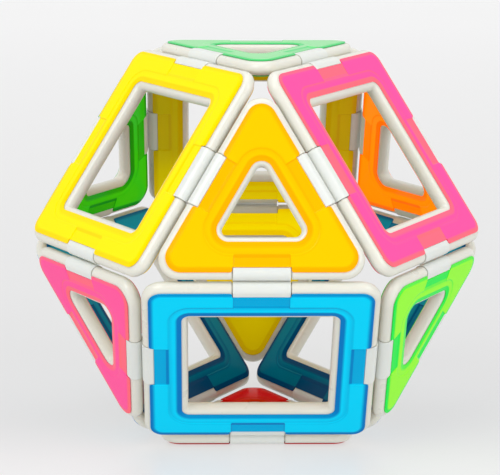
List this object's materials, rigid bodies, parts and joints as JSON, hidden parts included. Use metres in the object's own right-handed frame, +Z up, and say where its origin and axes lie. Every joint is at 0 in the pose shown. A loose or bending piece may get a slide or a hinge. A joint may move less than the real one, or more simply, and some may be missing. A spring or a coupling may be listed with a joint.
{
  "type": "magnetic tile ball",
  "caption": "Hollow ball of translucent magnetic building tiles, triangles and squares, that unfolds on its magnet seams into a flat net.",
  "frame": {"origin": "middle of the ball's footprint, on the plane the base tile rests on", "axes": "+Z up out of the top triangle, -Y towards the front square and front triangle, +X to the right seen from the front"},
  "size_m": [0.1244, 0.1138, 0.1102],
  "materials": {
    "frame_plastic": "glossy moulded plastic",
    "magnet_nickel": "bright nickel plating",
    "red_cover_plastic": "glossy translucent plastic",
    "blue_cover_plastic": "glossy translucent plastic",
    "amber_cover_plastic": "glossy translucent plastic",
    "lime_cover_plastic": "glossy translucent plastic",
    "pink_cover_plastic": "glossy translucent plastic",
    "yellow_cover_plastic": "glossy translucent plastic",
    "mint_cover_plastic": "glossy translucent plastic",
    "orange_cover_plastic": "glossy translucent plastic",
    "green_cover_plastic": "glossy translucent plastic"
  },
  "bodies": {
    "base_triangle": {"base_triangle_frame": "frame_plastic", "base_triangle_outer_cover": "red_cover_plastic", "base_triangle_inner_cover": "red_cover_plastic"},
    "front_square": {"front_square_frame": "frame_plastic", "front_square_outer_cover": "blue_cover_plastic", "front_square_inner_cover": "blue_cover_plastic"},
    "rear_left_square": {"rear_left_square_frame": "frame_plastic", "rear_left_square_outer_cover": "blue_cover_plastic", "rear_left_square_inner_cover": "blue_cover_plastic"},
    "rear_right_square": {"rear_right_square_frame": "frame_plastic", "rear_right_square_outer_cover": "blue_cover_plastic", "rear_right_square_inner_cover": "blue_cover_plastic"},
    "front_triangle": {"front_triangle_frame": "frame_plastic", "front_triangle_outer_cover": "amber_cover_plastic", "front_triangle_inner_cover": "amber_cover_plastic"},
    "right_triangle": {"right_triangle_frame": "frame_plastic", "right_triangle_outer_cover": "lime_cover_plastic", "right_triangle_inner_cover": "lime_cover_plastic"},
    "left_triangle": {"left_triangle_frame": "frame_plastic", "left_triangle_outer_cover": "pink_cover_plastic", "left_triangle_inner_cover": "pink_cover_plastic"},
    "right_square": {"right_square_frame": "frame_plastic", "right_square_outer_cover": "pink_cover_plastic", "right_square_inner_cover": "pink_cover_plastic"},
    "left_square": {"left_square_frame": "frame_plastic", "left_square_outer_cover": "yellow_cover_plastic", "left_square_inner_cover": "yellow_cover_plastic"},
    "top_triangle": {"top_triangle_frame": "frame_plastic", "top_triangle_outer_cover": "mint_cover_plastic", "top_triangle_inner_cover": "mint_cover_plastic"},
    "rear_right_triangle": {"rear_right_triangle_frame": "frame_plastic", "rear_right_triangle_outer_cover": "orange_cover_plastic", "rear_right_triangle_inner_cover": "orange_cover_plastic"},
    "rear_left_triangle": {"rear_left_triangle_frame": "frame_plastic", "rear_left_triangle_outer_cover": "green_cover_plastic", "rear_left_triangle_inner_cover": "green_cover_plastic"},
    "rear_triangle": {"rear_triangle_frame": "frame_plastic", "rear_triangle_outer_cover": "yellow_cover_plastic", "rear_triangle_inner_cover": "yellow_cover_plastic"},
    "rear_square": {"rear_square_frame": "frame_plastic", "rear_square_outer_cover": "yellow_cover_plastic", "rear_square_inner_cover": "yellow_cover_plastic"},
    "front_square_magnet_1": {"front_square_magnet_1": "magnet_nickel"},
    "front_square_magnet_2": {"front_square_magnet_2": "magnet_nickel"},
    "front_square_magnet_3": {"front_square_magnet_3": "magnet_nickel"},
    "front_square_magnet_4": {"front_square_magnet_4": "magnet_nickel"},
    "front_triangle_magnet_1": {"front_triangle_magnet_1": "magnet_nickel"},
    "front_triangle_magnet_2": {"front_triangle_magnet_2": "magnet_nickel"},
    "front_triangle_magnet_3": {"front_triangle_magnet_3": "magnet_nickel"},
    "right_square_magnet_1": {"right_square_magnet_1": "magnet_nickel"},
    "right_square_magnet_2": {"right_square_magnet_2": "magnet_nickel"},
    "right_square_magnet_3": {"right_square_magnet_3": "magnet_nickel"},
    "right_square_magnet_4": {"right_square_magnet_4": "magnet_nickel"},
    "left_square_magnet_1": {"left_square_magnet_1": "magnet_nickel"},
    "left_square_magnet_2": {"left_square_magnet_2": "magnet_nickel"},
    "left_square_magnet_3": {"left_square_magnet_3": "magnet_nickel"},
    "left_square_magnet_4": {"left_square_magnet_4": "magnet_nickel"},
    "top_triangle_magnet_1": {"top_triangle_magnet_1": "magnet_nickel"},
    "top_triangle_magnet_2": {"top_triangle_magnet_2": "magnet_nickel"},
    "top_triangle_magnet_3": {"top_triangle_magnet_3": "magnet_nickel"}
  },
  "joints": [
    {"name": "hinge_front_square", "type": "hinge", "parent": "base_triangle", "child": "front_square", "pos_m": [0, -0.01675, 0.0024], "axis": [1, 0, 0], "range_deg": [0, 53.94]},
    {"name": "hinge_rear_left_square", "type": "hinge", "parent": "base_triangle", "child": "rear_left_square", "pos_m": [-0.01451, 0.00838, 0.0024], "axis": [-0.5, -0.866, 0], "range_deg": [0, 53.94]},
    {"name": "hinge_rear_right_square", "type": "hinge", "parent": "base_triangle", "child": "rear_right_square", "pos_m": [0.01451, 0.00838, 0.0024], "axis": [-0.5, 0.866, 0], "range_deg": [0, 53.94]},
    {"name": "hinge_front_triangle", "type": "hinge", "parent": "front_square", "child": "front_triangle", "pos_m": [0, -0.05543, 0.05551], "axis": [1, 0, 0], "range_deg": [0, 55.54]},
    {"name": "hinge_right_triangle", "type": "hinge", "parent": "front_square", "child": "right_triangle", "pos_m": [0.032, -0.03695, 0.02938], "axis": [0, 0.5774, -0.8165], "range_deg": [0, 54.74]},
    {"name": "hinge_left_triangle", "type": "hinge", "parent": "front_square", "child": "left_triangle", "pos_m": [-0.032, -0.03695, 0.02938], "axis": [0, -0.5774, 0.8165], "range_deg": [0, 54.74]},
    {"name": "hinge_right_square", "type": "hinge", "parent": "front_triangle", "child": "right_square", "pos_m": [0.016, -0.04619, 0.08163], "axis": [0.5, -0.2887, -0.8165], "range_deg": [0, 54.74]},
    {"name": "hinge_left_square", "type": "hinge", "parent": "front_triangle", "child": "left_square", "pos_m": [-0.016, -0.04619, 0.08163], "axis": [0.5, 0.2887, 0.8165], "range_deg": [0, 54.74]},
    {"name": "hinge_top_triangle", "type": "hinge", "parent": "right_square", "child": "top_triangle", "pos_m": [0.016, -0.00924, 0.10776], "axis": [0.5, 0.866, 0], "range_deg": [0, 54.74]},
    {"name": "hinge_rear_right_triangle", "type": "hinge", "parent": "rear_right_square", "child": "rear_right_triangle", "pos_m": [0.048, 0.02771, 0.05551], "axis": [-0.5, 0.866, 0], "range_deg": [0, 55.54]},
    {"name": "hinge_rear_left_triangle", "type": "hinge", "parent": "rear_left_square", "child": "rear_left_triangle", "pos_m": [-0.048, 0.02771, 0.05551], "axis": [-0.5, -0.866, 0], "range_deg": [0, 55.54]},
    {"name": "hinge_rear_triangle", "type": "hinge", "parent": "rear_left_square", "child": "rear_triangle", "pos_m": [-0.016, 0.04619, 0.02938], "axis": [-0.5, 0.2887, 0.8165], "range_deg": [0, 54.74]},
    {"name": "hinge_rear_square", "type": "hinge", "parent": "rear_triangle", "child": "rear_square", "pos_m": [0, 0.05543, 0.05551], "axis": [-1, 0, 0], "range_deg": [0, 54.74]},
    {"name": "magnet_front_square_1", "type": "hinge", "parent": "front_square", "child": "front_square_magnet_1", "pos_m": [0, -0.01926, 0.00584], "axis": [1, 0, 0], "continuous": true},
    {"name": "magnet_front_square_2", "type": "hinge", "parent": "front_square", "child": "front_square_magnet_2", "pos_m": [0.02944, -0.03659, 0.02964], "axis": [0, -0.5887, 0.8084], "continuous": true},
    {"name": "magnet_front_square_3", "type": "hinge", "parent": "front_square", "child": "front_square_magnet_3", "pos_m": [0, -0.05392, 0.05343], "axis": [-1, 0, 0], "continuous": true},
    {"name": "magnet_front_square_4", "type": "hinge", "parent": "front_square", "child": "front_square_magnet_4", "pos_m": [-0.02944, -0.03659, 0.02964], "axis": [0, 0.5887, -0.8084], "continuous": true},
    {"name": "magnet_front_triangle_1", "type": "hinge", "parent": "front_triangle", "child": "front_triangle_magnet_1", "pos_m": [0, -0.05457, 0.05792], "axis": [1, 0, 0], "continuous": true},
    {"name": "magnet_front_triangle_2", "type": "hinge", "parent": "front_triangle", "child": "front_triangle_magnet_2", "pos_m": [0.01378, -0.04661, 0.08043], "axis": [-0.5, 0.2887, 0.8165], "continuous": true},
    {"name": "magnet_front_triangle_3", "type": "hinge", "parent": "front_triangle", "child": "front_triangle_magnet_3", "pos_m": [-0.01378, -0.04661, 0.08043], "axis": [-0.5, -0.2887, -0.8165], "continuous": true},
    {"name": "magnet_right_square_1", "type": "hinge", "parent": "right_square", "child": "right_square_magnet_1", "pos_m": [0.01728, -0.04397, 0.08163], "axis": [0.5, -0.2887, -0.8165], "continuous": true},
    {"name": "magnet_right_square_2", "type": "hinge", "parent": "right_square", "child": "right_square_magnet_2", "pos_m": [0.04672, -0.02697, 0.0576], "axis": [0.5, 0.866, 0], "continuous": true},
    {"name": "magnet_right_square_3", "type": "hinge", "parent": "right_square", "child": "right_square_magnet_3", "pos_m": [0.04672, 0.00702, 0.08163], "axis": [-0.5, 0.2887, 0.8165], "continuous": true},
    {"name": "magnet_right_square_4", "type": "hinge", "parent": "right_square", "child": "right_square_magnet_4", "pos_m": [0.01728, -0.00998, 0.10567], "axis": [-0.5, -0.866, 0], "continuous": true},
    {"name": "magnet_left_square_1", "type": "hinge", "parent": "left_square", "child": "left_square_magnet_1", "pos_m": [-0.01728, -0.04397, 0.08163], "axis": [0.5, 0.2887, 0.8165], "continuous": true},
    {"name": "magnet_left_square_2", "type": "hinge", "parent": "left_square", "child": "left_square_magnet_2", "pos_m": [-0.01728, -0.00998, 0.10567], "axis": [-0.5, 0.866, 0], "continuous": true},
    {"name": "magnet_left_square_3", "type": "hinge", "parent": "left_square", "child": "left_square_magnet_3", "pos_m": [-0.04672, 0.00702, 0.08163], "axis": [-0.5, -0.2887, -0.8165], "continuous": true},
    {"name": "magnet_left_square_4", "type": "hinge", "parent": "left_square", "child": "left_square_magnet_4", "pos_m": [-0.04672, -0.02697, 0.0576], "axis": [0.5, -0.866, 0], "continuous": true},
    {"name": "magnet_top_triangle_1", "type": "hinge", "parent": "top_triangle", "child": "top_triangle_magnet_1", "pos_m": [0.01378, -0.00796, 0.10776], "axis": [0.5, 0.866, 0], "continuous": true},
    {"name": "magnet_top_triangle_2", "type": "hinge", "parent": "top_triangle", "child": "top_triangle_magnet_2", "pos_m": [0, 0.01591, 0.10776], "axis": [-1, 0, 0], "continuous": true},
    {"name": "magnet_top_triangle_3", "type": "hinge", "parent": "top_triangle", "child": "top_triangle_magnet_3", "pos_m": [-0.01378, -0.00796, 0.10776], "axis": [0.5, -0.866, 0], "continuous": true}
  ]
}
